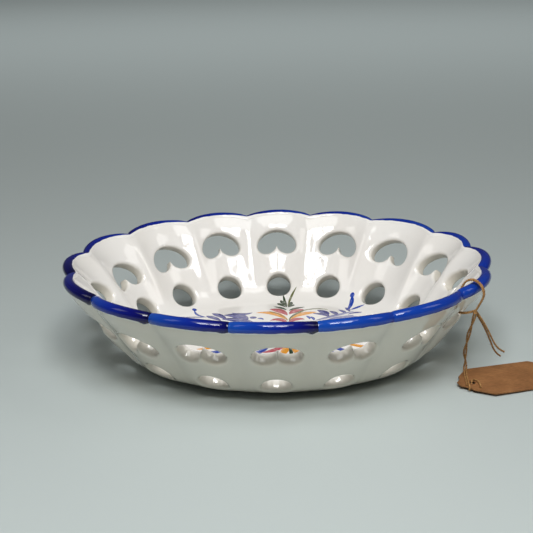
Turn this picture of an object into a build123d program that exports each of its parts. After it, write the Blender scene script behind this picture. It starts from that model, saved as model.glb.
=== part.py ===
"""Pierced oval berry bowl with a lobed wall and a rolled lip, and a paper tag tied to it with twine."""

import math
import os

from build123d import *

# Bowl plan, taken at the creases between the lobes, at the lip's centre
RIM_HALF_LENGTH = 99.0
RIM_HALF_WIDTH = 84.5
LOBES = 16
LOBE_BULGE = 4.2  # how far a lobe's middle stands out past its creases at the rim

# Bowl section
RIM_HEIGHT = 45.5  # the lip's centre at the creases, above the table
WALL_LEAN = 35.0  # degrees away from upright
WALL = 6.5
CORNER_RADIUS = 20.0  # inside, between the floor and the wall
FOOT_HEIGHT = 1.0
FOOT_WIDTH = 4.5
FOOT_INSET = 1.5  # from the edge of the flat underside to the foot ring
NECK_DROP = 7.0  # the wall starts to thin this far below the lip's centre
NECK_WIDTH = 4.4  # the wall's level width where it runs into the lip

# Lip
LIP_DIAMETER = 5.6
LIP_RISE = 1.8  # the lip climbs this much from a crease to the lobe's middle
LIP_SEAT = 2.3  # from the lip's centre at a lobe's middle down to the level top of the wall

# Holes, one of each in every lobe, placed by their height above the floor on the inner face
HEART_HEIGHT = 26.4
HEART_WIDTH = 22.4
HEART_CROWN = 7.8  # from the widest line up to the rounded top
HEART_TOOTH = 0.8  # from the widest line down to the tooth's point
ROUND_HEIGHT = 6.6
ROUND_DIAMETER = 13.2

# The bowl is shaped by hand: how far each crease, counted from the back, strays from an even spacing,
# as a share of a lobe, and how far each heart strays along the rim and up the wall, as shares of its width
CREASE_SHIFTS = [0, -0.04, 0, 0.02, -0.1, -0.05, -0.03, -0.03, 0, -0.07, 0.1, 0.18, 0.06, -0.13, 0, 0]
HEART_SHIFTS = [
    (0.05, 0.02),
    (0.02, 0.02),
    (-0.05, -0.12),
    (0.02, -0.18),
    (0, -0.18),
    (0, -0.2),
    (-0.07, -0.2),
    (0.02, -0.06),
    (0.04, 0),
    (0.04, -0.04),
    (0.18, -0.08),
    (0, 0.05),
    (0.16, 0),
    (-0.06, 0),
    (-0.02, 0),
    (-0.06, 0.02),
]

# Twine, doubled from the bowl's rim down to the tag
STRAND = 0.9
PAIR_GAP = 0.15  # between two strands that run side by side
BEND_SHARE = 0.45  # of the shorter run beside a bend, taken up by the bend
KNOT_DIAMETER = 2.8
MOVING_GAP = 0.2  # between pieces of twine that turn on each other

# Paper tag, lying on the table with its twine end lifted
TAG_CORNER = (90.3, -29.25)  # the shoulder next to the bowl, in plan
TAG_TURN = 18.8  # degrees from the bowl's length
TAG_TILT = 1.5
TAG_TABLE_GAP = 0.05
TAG_THICKNESS = 0.6
TAG_WIDTH = 29.4
TAG_SIDE = 33.7  # the straight long edges
TAG_HEAD = 11.2  # from the shoulders to the nose, alike at both ends
TAG_STEP = (7.5, 7.1)  # outer tip of the scallop: past the shoulder, and in from the long edge
TAG_NOTCH = (8.3, 9.7)  # the scallop's hollow
TAG_NOSE = (11.0, 12.7)  # where the rounded nose starts
TAG_HOLE_DIAMETER = 4.0
TAG_HOLE_SETBACK = 4.6  # from the shoulders to the hole's centre

LEAN = math.radians(WALL_LEAN)
FLOOR_TOP = FOOT_HEIGHT + WALL
WALL_TOP = RIM_HEIGHT + LIP_RISE - LIP_SEAT
STEPS_ROUND_CORNER = 3


def rim_angles(places):
    """Angles on the rim's oval at places counted in even lobes from the back, in rising order."""
    fine = 3600
    points = []
    for i in range(fine + 1):
        angle = math.pi / 2 + 2 * math.pi * i / fine
        points.append((RIM_HALF_LENGTH * math.cos(angle), RIM_HALF_WIDTH * math.sin(angle)))
    lengths = [0.0]
    for before, after in zip(points, points[1:]):
        lengths.append(lengths[-1] + math.dist(before, after))
    angles = []
    i = 0
    for place in places:
        target = lengths[-1] * place / LOBES
        while lengths[i + 1] < target:
            i += 1
        share = (target - lengths[i]) / (lengths[i + 1] - lengths[i])
        angles.append(math.pi / 2 + 2 * math.pi * (i + share) / fine)
    return angles


CREASE_PLACES = [k + (1 + 2 * shift) / 2 for k, shift in enumerate(CREASE_SHIFTS)]
PLACES_BEFORE = [CREASE_PLACES[-1] - LOBES, *CREASE_PLACES]
LOBE_PLACES = [(before + after) / 2 for before, after in zip(PLACES_BEFORE, CREASE_PLACES)]
CREASE_ANGLES = rim_angles(CREASE_PLACES)
LOBE_ANGLES = rim_angles(LOBE_PLACES)
HOLE_ANGLES = rim_angles(range(LOBES))


def plan_point(angle, inset, height):
    """A point on the plan's oval, drawn in by an inset, at a height."""
    return Vector(
        (RIM_HALF_LENGTH - inset) * math.cos(angle), (RIM_HALF_WIDTH - inset) * math.sin(angle), height
    )


def outward(angle, inset):
    """The level direction square to the oval at an angle."""
    return Vector(
        (RIM_HALF_WIDTH - inset) * math.cos(angle), (RIM_HALF_LENGTH - inset) * math.sin(angle), 0
    ).normalized()


# The inner face along a lobe's middle: a round corner from the floor, then a straight leaning wall.
# Insets are measured from the creases' oval at the rim.
def straight_inset(height):
    """Inset of the inner face's straight part at a height above the table."""
    return -LOBE_BULGE + WALL / 2 / math.cos(LEAN) + (RIM_HEIGHT + LIP_RISE - height) * math.tan(LEAN)


CORNER_CENTRE_HEIGHT = FLOOR_TOP + CORNER_RADIUS
CORNER_END_HEIGHT = CORNER_CENTRE_HEIGHT - CORNER_RADIUS * math.sin(LEAN)
CORNER_CENTRE_INSET = straight_inset(CORNER_END_HEIGHT) + CORNER_RADIUS * math.cos(LEAN)
CORNER_TURN = math.pi / 2 - LEAN


def corner_point(turn, outside):
    """(inset, height) on the corner, a turn up from the floor, on the inner face or on the outer one."""
    radius = CORNER_RADIUS + (WALL if outside else 0)
    return (
        CORNER_CENTRE_INSET - radius * math.sin(turn),
        CORNER_CENTRE_HEIGHT - radius * math.cos(turn),
    )


def inner_face_at(height_above_floor):
    """(inset, height, lean) of the inner face along a lobe's middle."""
    height = FLOOR_TOP + height_above_floor
    if height < CORNER_END_HEIGHT:
        turn = math.acos(1 - height_above_floor / CORNER_RADIUS)
        return (*corner_point(turn, False), math.pi / 2 - turn)
    return straight_inset(height), height, LEAN


def profile(outside):
    """(inset, height) stations of one face, from the floor to the lip."""
    stations = []
    for i in range(STEPS_ROUND_CORNER + 1):
        stations.append(corner_point(CORNER_TURN * i / STEPS_ROUND_CORNER, outside))
    level = WALL / math.cos(LEAN) if outside else 0
    neck_height = RIM_HEIGHT - NECK_DROP
    middle_height = (stations[-1][1] + neck_height) / 2
    for height in (middle_height, neck_height):
        stations.append((straight_inset(height) - level, height))
    side = -1 if outside else 1
    stations.append((-LOBE_BULGE + side * NECK_WIDTH / 2, WALL_TOP))
    return stations


def shares_of_length(stations):
    """How far along the profile each station lies, from 0 to 1."""
    lengths = [0.0]
    for before, after in zip(stations, stations[1:]):
        lengths.append(lengths[-1] + math.dist(before, after))
    return [length / lengths[-1] for length in lengths]


def lobed_outline(inset, height, bulge):
    """A closed outline of one arc a lobe, meeting in creases."""
    arcs = []
    for k in range(LOBES):
        arcs.append(
            ThreePointArc(
                plan_point(CREASE_ANGLES[k - 1], inset + bulge, height),
                plan_point(LOBE_ANGLES[k], inset, height),
                plan_point(CREASE_ANGLES[k], inset + bulge, height),
            )
        )
    return Wire(arcs)


def lobed_solid(stations, open_height=0.0):
    """The space inside one face of the wall; the lobes grow from the floor to the rim.

    With an open height, the space goes on past the rim by that much.
    """
    sections = []
    for (inset, height), share in zip(stations, shares_of_length(stations)):
        sections.append(lobed_outline(inset, height, LOBE_BULGE * math.sin(math.pi / 2 * share)))
    if open_height:
        inset, height = stations[-1]
        sections.append(lobed_outline(inset, height + open_height, LOBE_BULGE))
    return Solid.make_loft(sections)


def lip_rolls():
    """One roll a scallop, flat under, cut square to the rim at the creases where it meets the next."""
    rolls = []
    for k in range(LOBES):
        start = plan_point(CREASE_ANGLES[k - 1], 0, RIM_HEIGHT)
        middle = plan_point(LOBE_ANGLES[k], -LOBE_BULGE, RIM_HEIGHT + LIP_RISE)
        end = plan_point(CREASE_ANGLES[k], 0, RIM_HEIGHT)
        path = ThreePointArc(start, middle, end)
        axis = Axis(path.arc_center, path.normal())
        spare_turn = math.degrees(LIP_DIAMETER / path.radius)
        turn = math.degrees(path.length / path.radius)
        section = Face(Wire.make_circle(LIP_DIAMETER / 2, Plane(path @ 0, z_dir=path % 0)))
        roll = Solid.revolve(section.rotate(axis, -spare_turn), turn + 2 * spare_turn, axis)
        for point, angle, keep in (
            (start, CREASE_ANGLES[k - 1], Keep.TOP),
            (end, CREASE_ANGLES[k], Keep.BOTTOM),
        ):
            level = outward(angle, 0)
            roll = roll.split(Plane(point, z_dir=Vector(-level.Y, level.X, 0)), keep=keep)
        rolls.append(roll.split(Plane((0, 0, WALL_TOP)), keep=Keep.TOP))
    return rolls


def hole_plane(k, height_above_floor):
    """A plane on the inner face of lobe k, its normal square to the wall and pointing out."""
    inset, height, lean = inner_face_at(height_above_floor)
    angle = HOLE_ANGLES[k]
    level = outward(angle, inset)
    along = Vector(-level.Y, level.X, 0)
    out = level * math.cos(lean) - Vector(0, 0, math.sin(lean))
    return Plane(plan_point(angle, inset, height), x_dir=along, z_dir=out)


def heart_face():
    """Upside-down heart: a round crown over two round lobes with a pointed tooth between them."""
    half = HEART_WIDTH / 2
    radius = (half**2 + HEART_TOOTH**2) / (2 * half)
    centre = half - radius
    crown = EllipticalCenterArc((0, 0), half, HEART_CROWN, start_angle=0, arc_size=180)
    right = ThreePointArc((half, 0), (centre, -radius), (0, -HEART_TOOTH))
    left = ThreePointArc((0, -HEART_TOOTH), (-centre, -radius), (-half, 0))
    return Face(Wire([crown.edge(), left.edge(), right.edge()]))


def hole_cutters():
    """Prisms through the wall, one heart and one round hole in every lobe."""
    reach = 2 * WALL
    heart = heart_face()
    circle = Face(Wire.make_circle(ROUND_DIAMETER / 2))
    cutters = []
    for k in range(LOBES):
        along, up = HEART_SHIFTS[k]
        heart_place = Location((along * HEART_WIDTH, up * HEART_WIDTH, -reach))
        round_place = Location((0, 0, -reach))
        for face, height_above_floor, place in (
            (heart, HEART_HEIGHT, heart_place),
            (circle, ROUND_HEIGHT, round_place),
        ):
            prism = Solid.extrude(face, Vector(0, 0, 2 * reach)).moved(place)
            cutters.append(prism.moved(hole_plane(k, height_above_floor).location))
    return cutters


def make_foot():
    """A low oval ring under the flat underside."""
    outer_inset = CORNER_CENTRE_INSET + FOOT_INSET
    outer = Face(lobed_outline(outer_inset, 0, 0))
    inner = Face(lobed_outline(outer_inset + FOOT_WIDTH, 0, 0))
    up = Vector(0, 0, FOOT_HEIGHT)
    return Solid.extrude(outer, up).cut(Solid.extrude(inner, up))


def make_body():
    """The wall and floor in one, pierced, with a level top that the lip sits on."""
    shell = lobed_solid(profile(True)).cut(lobed_solid(profile(False), LIP_DIAMETER))
    return shell.fuse(make_foot()).cut(*hole_cutters())


# The twine is tied through the heart of one lobe, to one side of the heart's middle.
# Its routes are lists of chosen points, placed from the lip's centre over an evenly placed heart.
TIE_LOBE = 11
TIE_ANGLE = HOLE_ANGLES[TIE_LOBE]
TIE_ALONG = -7.0  # along the rim, from the heart's middle
TIE_OUT = outward(TIE_ANGLE, -LOBE_BULGE)
TIE_RIM = Vector(-TIE_OUT.Y, TIE_OUT.X, 0)
PAIR_STEP = STRAND + PAIR_GAP

KNOT_PLACE = (0.35, -11.1)
# (out, up) from the lip's centre, from the knot over the lip and back through the heart
LOOP_ROUTE = [
    (0.8, -10.2),
    (2.6, -6.6),
    (4.6, -2.0),
    (2.8, 2.5),
    (-1.0, 4.7),
    (-4.9, 3.2),
    (-6.6, -0.9),
    (-9.3, -4.7),
    (-12.0, -8.9),
    (-9.6, -12.2),
    (-4.4, -12.8),
    (-0.5, -10.9),
]
# (share of the way from the knot to the tag, sideways, away from the bowl), before an upright end
LEG_ROUTE = [(0.0, -0.3, 0.6), (0.28, -0.8, 0.3), (0.53, -1.15, 0.0), (0.77, -1.2, 0.0), (0.93, -0.7, 0.0)]
LEG_UPRIGHT = 1.8
# (x, y, z) from the knot
TAIL_ROUTES = [
    [
        (0.0, 1.2, -0.3),
        (2.8, 2.8, -4.4),
        (6.2, 5.0, -10.8),
        (8.8, 7.0, -16.6),
        (10.7, 8.7, -21.4),
        (12.9, 9.9, -25.0),
        (14.9, 10.5, -26.5),
    ],
    [
        (0.95, 0.75, -0.3),
        (3.6, 1.8, -4.2),
        (7.0, 4.0, -10.4),
        (9.6, 5.9, -15.8),
        (11.6, 7.2, -19.5),
        (14.0, 8.3, -22.4),
        (16.3, 9.1, -23.8),
    ],
]
# (past the shoulders, across from the back long edge, above the underside), on the tag
HITCH_TOP = 1.2
HITCH_UNDER = -0.62
HITCH_STUB = 3.4
HITCH_ROUTE = [
    (-0.4, 1.3, HITCH_STUB),
    (-0.4, 1.3, HITCH_TOP),
    (-2.3, 5.4, HITCH_TOP),
    (-4.3, 10.0, HITCH_TOP),
    (-6.1, 14.4, HITCH_TOP),
    (-7.6, 18.2, HITCH_TOP),
    (-8.65, 20.4, HITCH_TOP),
    (-8.9, 20.9, 0.29),
    (-8.5, 20.2, HITCH_UNDER),
    (-7.2, 18.4, HITCH_UNDER),
    (-5.5, 16.3, HITCH_UNDER),
    (-4.6, 14.9, -0.2),
    (-4.1, 13.9, 0.8),
    (-3.1, 13.0, HITCH_TOP),
    (-1.9, 13.9, HITCH_TOP),
    (-1.7, 16.4, HITCH_TOP),
    (-2.6, 19.6, HITCH_TOP),
    (-4.0, 22.8, HITCH_TOP),
]
FACE_RUNS = 6  # points of the hitch that both strands share, from the stub across the face


def tie_point(along, out, up):
    """A point beside the lip where the twine is tied."""
    lip_centre = plan_point(TIE_ANGLE, -LOBE_BULGE, RIM_HEIGHT + LIP_RISE)
    return lip_centre + TIE_RIM * along + TIE_OUT * out + Vector(0, 0, up)


def strand(route):
    """A tube of twine along a route, its bends as wide as the runs allow."""
    radii = []
    for before, corner, after in zip(route, route[1:], route[2:]):
        turn = math.radians((corner - before).get_angle(after - corner))
        shorter = min((corner - before).length, (after - corner).length)
        radii.append(BEND_SHARE * shorter / math.tan(turn / 2))
    path = FilletPolyline(*route, radius=radii)
    section = Plane(path @ 0, z_dir=path % 0) * Circle(STRAND / 2)
    tube = sweep(section, path=path)
    even = math.pi * STRAND**2 / 4 * path.length
    print("bends", [round(radius, 1) for radius in radii], "length", round(path.length, 1))
    print("volume over section times length", round(tube.volume / even, 4))
    return tube.solid()


def pair(route, side):
    """Two strands side by side along one route."""
    step = side * (PAIR_STEP / 2)
    return [strand([point + step for point in route]), strand([point - step for point in route])]


def cut_each(solids, cutter):
    """What lies outside a cutter, of each solid."""
    return [max(solid.cut(cutter).solids(), key=lambda piece: piece.volume) for solid in solids]


def tag_plane():
    """The tag's underside: x from the shoulders to the far end, y toward the back long edge, z up."""
    turn = math.radians(TAG_TURN)
    tilt = math.radians(TAG_TILT)
    height = TAG_TABLE_GAP + (TAG_SIDE + TAG_HEAD) * math.sin(tilt)
    level = Vector(math.cos(turn), math.sin(turn), 0)
    x_dir = level * math.cos(tilt) - Vector(0, 0, math.sin(tilt))
    z_dir = level * math.sin(tilt) + Vector(0, 0, math.cos(tilt))
    return Plane((*TAG_CORNER, height), x_dir=x_dir, z_dir=z_dir)


def tag_point(past, across, above):
    """A point on the tag: past the shoulders, across from the back long edge, above the underside."""
    return tag_plane().from_local_coords(Vector(past, -across, above))


def tag_outline():
    """Two straight long edges, and at each end a head that steps in to a rounded nose."""
    middle = TAG_WIDTH / 2
    edges = []
    for end, sign in ((0, -1), (TAG_SIDE, 1)):
        nose = (end + sign * TAG_HEAD, -middle)
        inner = []
        for half in (1, -1):
            shoulder, step, notch, start = [
                (end + sign * past, -middle + half * (middle - across))
                for past, across in ((0, 0), TAG_STEP, TAG_NOTCH, TAG_NOSE)
            ]
            edges += [Line(shoulder, step).edge(), ThreePointArc(step, notch, start).edge()]
            inner.append(start)
        edges.append(ThreePointArc(inner[0], nose, inner[1]).edge())
    for across in (0, TAG_WIDTH):
        edges.append(Line((0, -across), (TAG_SIDE, -across)).edge())
    return Wire(edges)


def make_tag():
    """A flat card with a punched hole in its lifted head."""
    up = Vector(0, 0, TAG_THICKNESS)
    hole_centre = Location((-TAG_HOLE_SETBACK, -TAG_WIDTH / 2, 0))
    hole = Face(Wire.make_circle(TAG_HOLE_DIAMETER / 2)).moved(hole_centre)
    card = Solid.extrude(Face(tag_outline()), up).cut(Solid.extrude(hole, up))
    return card.moved(tag_plane().location)


def make_twine():
    """The loop round the rim, the knot, the leg down to the tag, the loose tails and the hitch."""
    sideways = Vector(1, 0, 0)
    knot_centre = tie_point(TIE_ALONG, *KNOT_PLACE)
    knot = Solid.make_sphere(KNOT_DIAMETER / 2).moved(Location(knot_centre))
    around = Solid.make_sphere(KNOT_DIAMETER / 2 + MOVING_GAP).moved(Location(knot_centre))
    loop = pair([tie_point(TIE_ALONG, out, up) for out, up in LOOP_ROUTE], TIE_RIM)

    past, across, above = HITCH_ROUTE[0]
    foot = tag_point(past, across, above + MOVING_GAP) - sideways * (PAIR_STEP / 2)
    top = foot + Vector(0, 0, LEG_UPRIGHT)
    leg_route = [
        knot_centre + (top - knot_centre) * share + sideways * aside + TIE_OUT * out
        for share, aside, out in LEG_ROUTE
    ]
    leg = pair([*leg_route, top, foot], sideways)

    tails = [strand([knot_centre + Vector(*offset) for offset in route]) for route in TAIL_ROUTES]

    hitch_route = [tag_point(*place) for place in HITCH_ROUTE]
    second = [point - sideways * PAIR_STEP for point in hitch_route[:FACE_RUNS]]
    return {
        "twine_rim_loop": Compound(cut_each(loop, around)),
        "twine_knot": knot,
        "twine_leg": Compound(cut_each(leg, knot)),
        "twine_tails": Compound(cut_each(tails, knot)),
        "tag_hitch": Compound([strand(hitch_route), strand(second)]),
    }


def save(shape, name):
    export_step(shape, f"parts/{name}.step")


os.makedirs("parts", exist_ok=True)
save(make_body(), "bowl_body")
save(Compound(lip_rolls()), "rim_lip")
save(make_tag(), "paper_tag")
for node, shape in make_twine().items():
    save(shape, node)
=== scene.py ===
"""Dresses the pierced berry bowl: glazed shell, painted lip and floor, jute twine and a kraft paper tag."""

from math import acos, atan2, cos, degrees, pi, radians, sin, tan

import bmesh
import bpy
import numpy as np
from mathutils import Matrix, Vector
from mathutils.bvhtree import BVHTree
from mathutils.geometry import delaunay_2d_cdt
from numpy.linalg import norm


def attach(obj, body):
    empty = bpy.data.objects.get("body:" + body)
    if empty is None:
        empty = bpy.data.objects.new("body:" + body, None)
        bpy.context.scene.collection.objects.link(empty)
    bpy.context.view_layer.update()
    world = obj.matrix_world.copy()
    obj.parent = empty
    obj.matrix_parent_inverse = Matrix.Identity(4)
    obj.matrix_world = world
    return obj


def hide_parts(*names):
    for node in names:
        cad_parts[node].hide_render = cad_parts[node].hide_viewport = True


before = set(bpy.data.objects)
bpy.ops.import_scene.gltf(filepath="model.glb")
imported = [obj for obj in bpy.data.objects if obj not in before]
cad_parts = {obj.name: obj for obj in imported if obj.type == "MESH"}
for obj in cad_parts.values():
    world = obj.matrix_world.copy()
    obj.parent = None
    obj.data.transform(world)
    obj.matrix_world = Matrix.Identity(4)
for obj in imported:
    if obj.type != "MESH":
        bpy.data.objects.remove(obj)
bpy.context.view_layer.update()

MM = 0.001
DOWN = Vector((0, 0, -1))
UP = np.array([0, 0, 1.0])

# Camera, in metres; the picture's shift is in shares of its width
CAMERA_ELEVATION = radians(18.19)
CAMERA_TURN = radians(0.9)
CAMERA_ROLL = radians(-0.92)
CAMERA_AIM = (0, 0, 0.046)
CAMERA_DISTANCE = 0.5254
CAMERA_LENS = 71.7
PICTURE_WIDTH = 533
CAMERA_SHIFT = (-10.26 / PICTURE_WIDTH, -1.76 / PICTURE_WIDTH)

# Bowl, in millimetres
RIM_HALF_LENGTH = 99.0
RIM_HALF_WIDTH = 84.5
LOBES = 16
LOBE_BULGE = 4.2
RIM_HEIGHT = 45.5
LEAN = radians(35.0)
WALL = 6.5
CORNER_RADIUS = 20.0
FOOT_HEIGHT = 1.0
FOOT_WIDTH = 4.5
FOOT_INSET = 1.5
NECK_LENGTH = 8.0
LIP_RADIUS = 2.8
LIP_RISE = 1.8
HEART_HEIGHT = 26.4
HEART_HALF = 11.2
HEART_CROWN = 7.8
HEART_TOOTH = 0.8
ROUND_HEIGHT = 6.6
ROUND_RADIUS = 6.6
HOLE_EDGE = 1.6  # rounding of every hole's edges
LOBE_LENGTH = 37.8  # of an even lobe along its bowed rim
LIP_OVERLAP = 0.15  # of the lip over the wall's skin
CREASE_SOFT = 0.03  # easing of the creases at the lip, in shares of a half lobe
CREASE_SOFTER = {-1: 0.07, 1: 0.12}  # and how much more at the floor, on the inner and the outer face

# How far each crease strays, in shares of a lobe
CREASE_SHIFTS = [0, -0.04, 0, 0.02, -0.1, -0.05, -0.03, -0.03, 0, -0.07, 0.1, 0.18, 0.06, -0.13, 0, 0]
# How far each heart strays, along the rim and up, in shares of its width
HEART_SHIFTS = [
    (0.05, 0.02), (0.02, 0.02), (-0.05, -0.12), (0.02, -0.18),
    (0, -0.18), (0, -0.2), (-0.07, -0.2), (0.02, -0.06),
    (0.04, 0), (0.04, -0.04), (0.18, -0.08), (0, 0.05),
    (0.16, 0), (-0.06, 0), (-0.02, 0), (-0.06, 0.02),
]

FLOOR_TOP = FOOT_HEIGHT + WALL
CORNER_TURN = pi / 2 - LEAN
CORNER_RUN = CORNER_RADIUS * CORNER_TURN
CORNER_CENTRE_HEIGHT = FLOOR_TOP + CORNER_RADIUS
CORNER_END_HEIGHT = CORNER_CENTRE_HEIGHT - CORNER_RADIUS * sin(LEAN)
CORNER_CENTRE_INSET = (
    -LOBE_BULGE
    + WALL / 2 / cos(LEAN)
    + (RIM_HEIGHT + LIP_RISE - CORNER_END_HEIGHT) * tan(LEAN)
    + CORNER_RADIUS * cos(LEAN)
)

# Tag and twine, in millimetres
STRAND_RADIUS = 0.45
PAIR_STEP = 1.05
PLY_PITCH = 3.4
PAIR_PITCH = 24.0
FIBRE_LENGTH = 1.1
TAG_CORNER = (90.3, -29.25)
TAG_TURN = radians(18.8)
TAG_TILT = radians(1.5)
TAG_TABLE_GAP = 0.05
TAG_THICKNESS = 0.6
TAG_WIDTH = 29.4
TAG_SIDE = 33.7
TAG_HEAD = 11.2
TAG_STEP = (7.5, 7.1)
TAG_NOTCH = (8.3, 9.7)
TAG_NOSE = (11.0, 12.7)
TAG_HOLE_RADIUS = 2.0
TAG_HOLE_SETBACK = 4.6
TIE_LOBE = 11
TIE_ALONG = -7.0
KNOT_PLACE = (0.35, -11.1)
KNOT_SIZE = 0.85
LOOP_ROUTE = [
    (0.8, -10.2), (2.6, -6.6), (4.6, -2.0), (2.8, 2.5), (-1.0, 4.7), (-4.9, 3.2),
    (-6.6, -0.9), (-9.3, -4.7), (-12.0, -8.9), (-9.6, -12.2), (-4.4, -12.8), (-0.5, -10.9),
]
LEG_ROUTE = [(0.0, -0.3, 0.6), (0.28, -0.8, 0.3), (0.53, -1.15, 0.0), (0.77, -1.2, 0.0), (0.93, -0.7, 0.0)]
LEG_UPRIGHT = 1.8
MOVING_GAP = 0.2
TAIL_ROUTES = [
    [
        (0.0, 1.2, -0.3), (2.8, 2.8, -4.4), (6.2, 5.0, -10.8), (8.8, 7.0, -16.6),
        (10.7, 8.7, -21.4), (12.9, 9.9, -25.0), (14.9, 10.5, -26.5),
    ],
    [
        (0.95, 0.75, -0.3), (3.6, 1.8, -4.2), (7.0, 4.0, -10.4), (9.6, 5.9, -15.8),
        (11.6, 7.2, -19.5), (14.0, 8.3, -22.4), (16.3, 9.1, -23.8),
    ],
]
KNOT_ROUTE = [
    (-0.9, -0.2, 0.7), (0.3, -0.9, 0.8), (0.9, -0.2, 0.1), (0.3, 0.8, -0.6),
    (-0.8, 0.3, -0.7), (-0.5, -0.9, -0.4), (0.7, -0.7, -0.5), (0.8, 0.5, 0.5),
    (-0.2, 0.8, 0.7), (-0.9, 0.0, 0.1), (-0.1, -0.9, 0.0),
]
HITCH_TOP = 1.2
HITCH_UNDER = -0.62
HITCH_STUB = 3.4
HITCH_ROUTE = [
    (-0.4, 1.3, HITCH_STUB), (-0.4, 1.3, HITCH_TOP), (-2.3, 5.4, HITCH_TOP), (-4.3, 10.0, HITCH_TOP),
    (-6.1, 14.4, HITCH_TOP), (-7.6, 18.2, HITCH_TOP), (-8.65, 20.4, HITCH_TOP), (-8.9, 20.9, 0.29),
    (-8.5, 20.2, HITCH_UNDER), (-7.2, 18.4, HITCH_UNDER), (-5.5, 16.3, HITCH_UNDER), (-4.6, 14.9, -0.2),
    (-4.1, 13.9, 0.8), (-3.1, 13.0, HITCH_TOP), (-1.9, 13.9, HITCH_TOP), (-1.7, 16.4, HITCH_TOP),
    (-2.6, 19.6, HITCH_TOP), (-4.0, 22.8, HITCH_TOP),
]
FACE_RUNS = 6

# Colours, as linear red, green and blue
WHITE = (0.83, 0.82, 0.80, 1)
WHITE_WARM = (0.80, 0.78, 0.75, 1)
CREAM = (0.72, 0.68, 0.60, 1)
# Painted shade: the outer wall's white, darker and warmer than the same glaze inside, standing in for the
# shade on that wall
OUTER_PAINTED_SHADE = (0.74, 0.70, 0.61, 1)
GREEN = (0.020, 0.045, 0.016)
OLIVE = (0.13, 0.14, 0.05)
PINK = (0.46, 0.075, 0.10)
OCHRE = (0.74, 0.31, 0.025)
BLUE = (0.010, 0.050, 0.36)
VIOLET = (0.050, 0.055, 0.25)
PALE = (0.23, 0.24, 0.44)
TABLE = (0.50, 0.56, 0.56, 1)
BLUE_STOPS = [
    (0.0, (0.010, 0.085, 0.44, 1)), (0.30, (0.005, 0.048, 0.35, 1)), (0.60, (0.003, 0.016, 0.24, 1)),
    (0.84, (0.002, 0.003, 0.12, 1)), (1.0, (0.001, 0.001, 0.024, 1)),
]
JUTE_STOPS = [
    (0.25, (0.10, 0.044, 0.012, 1)), (0.5, (0.33, 0.165, 0.052, 1)), (0.75, (0.58, 0.34, 0.13, 1)),
]
KRAFT_STOPS = [
    (0.30, (0.16, 0.066, 0.018, 1)), (0.52, (0.26, 0.112, 0.036, 1)), (0.75, (0.39, 0.185, 0.068, 1)),
]

# How the blue runs along each scallop, from its start to its end: 0 is light, 1 is nearly black
SCALLOP_SHADES = [
    (0.35, 0.75), (0.40, 0.80), (0.40, 0.85), (0.50, 0.80), (0.65, 1.0), (0.60, 1.0),
    (0.20, 1.0), (0.12, 0.95), (0.12, 1.0), (0.15, 0.45), (0.30, 0.50), (0.35, 0.60),
    (0.50, 0.75), (0.40, 0.65), (0.35, 0.60), (0.40, 0.70),
]

# Blue on the lip, in degrees round its section: 0 is level on the outside, 90 is the top
PAINT_MIDDLE = 50
PAINT_HALF = 82
PAINT_INSIDE = 138  # where the blue ends inside, at the middle of a scallop
PAINT_DIP = 26  # and how much sooner at its ends
RUN_START = -20  # the glaze runs down from here
POOL_RUN = 34
POOL_SHADE = 0.88  # strokes that end darker than this have run down
POOL_START = 0.66  # along the scallop
POOL_FILM = 0.05  # millimetres
POOL_EDGE = 8  # over which a run thins out
POOL_STEEPEST = 60  # below the wall's slope


# Objects and camera

def new_object(name, data):
    made = bpy.data.objects.new(name, data)
    bpy.context.scene.collection.objects.link(made)
    return made


def place_camera():
    """The photographed view: a little above the rim, close, with a slight roll."""
    forward = Vector((0, cos(CAMERA_ELEVATION), -sin(CAMERA_ELEVATION)))
    right = Vector((1, 0, 0))
    up = right.cross(forward)
    turn = Matrix.Rotation(CAMERA_TURN, 3, "Z")
    roll = Matrix.Rotation(CAMERA_ROLL, 3, "Z")
    facing = turn @ Matrix((right, up, -forward)).transposed() @ roll
    stand = turn @ (Vector(CAMERA_AIM) - forward * CAMERA_DISTANCE)
    lens = bpy.data.cameras.new("camera")
    lens.lens = CAMERA_LENS
    lens.shift_x, lens.shift_y = CAMERA_SHIFT
    lens.clip_start = 0.01
    camera = new_object("camera", lens)
    camera.matrix_world = Matrix.Translation(stand) @ facing.to_4x4()
    bpy.context.scene.camera = camera


# Nodes and materials

def feed(tree, node, inputs):
    """Gives a node's inputs fixed values or linked sockets."""
    for key, value in inputs.items():
        if isinstance(value, bpy.types.NodeSocket):
            tree.links.new(value, node.inputs[key])
        else:
            node.inputs[key].default_value = value


def add(tree, kind, inputs=None, **settings):
    """A node with its settings and inputs."""
    made = tree.nodes.new(kind)
    for name, value in settings.items():
        setattr(made, name, value)
    feed(tree, made, inputs or {})
    return made


def maths(tree, operation, first, second=0.0, third=0.0):
    return add(tree, "ShaderNodeMath", {0: first, 1: second, 2: third}, operation=operation).outputs[0]


def ramp(tree, value, stops):
    """A colour ramp with (place, colour) stops."""
    made = add(tree, "ShaderNodeValToRGB", {"Fac": value})
    elements = made.color_ramp.elements
    while len(elements) < len(stops):
        elements.new(0.5)
    for element, (place, colour) in zip(elements, stops):
        element.position = place
        element.color = colour
    return made.outputs["Color"]


def mix_colour(tree, share, first, second):
    return add(tree, "ShaderNodeMix", {0: share, 6: first, 7: second}, data_type="RGBA").outputs[2]


def object_place(tree):
    return add(tree, "ShaderNodeTexCoord").outputs["Object"]


def noise(tree, place, scale, detail):
    settings = {"Vector": place, "Scale": scale, "Detail": detail}
    return add(tree, "ShaderNodeTexNoise", settings).outputs["Fac"]


def map_range(tree, value, start, end, first, last):
    """Carries a value from the range start to end into the range first to last."""
    ranges = {"From Min": start, "From Max": end, "To Min": first, "To Max": last}
    return add(tree, "ShaderNodeMapRange", {"Value": value, **ranges}).outputs["Result"]


def new_material(name):
    material = bpy.data.materials.new(name)
    material.use_nodes = True
    return material, material.node_tree, material.node_tree.nodes["Principled BSDF"]


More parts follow.
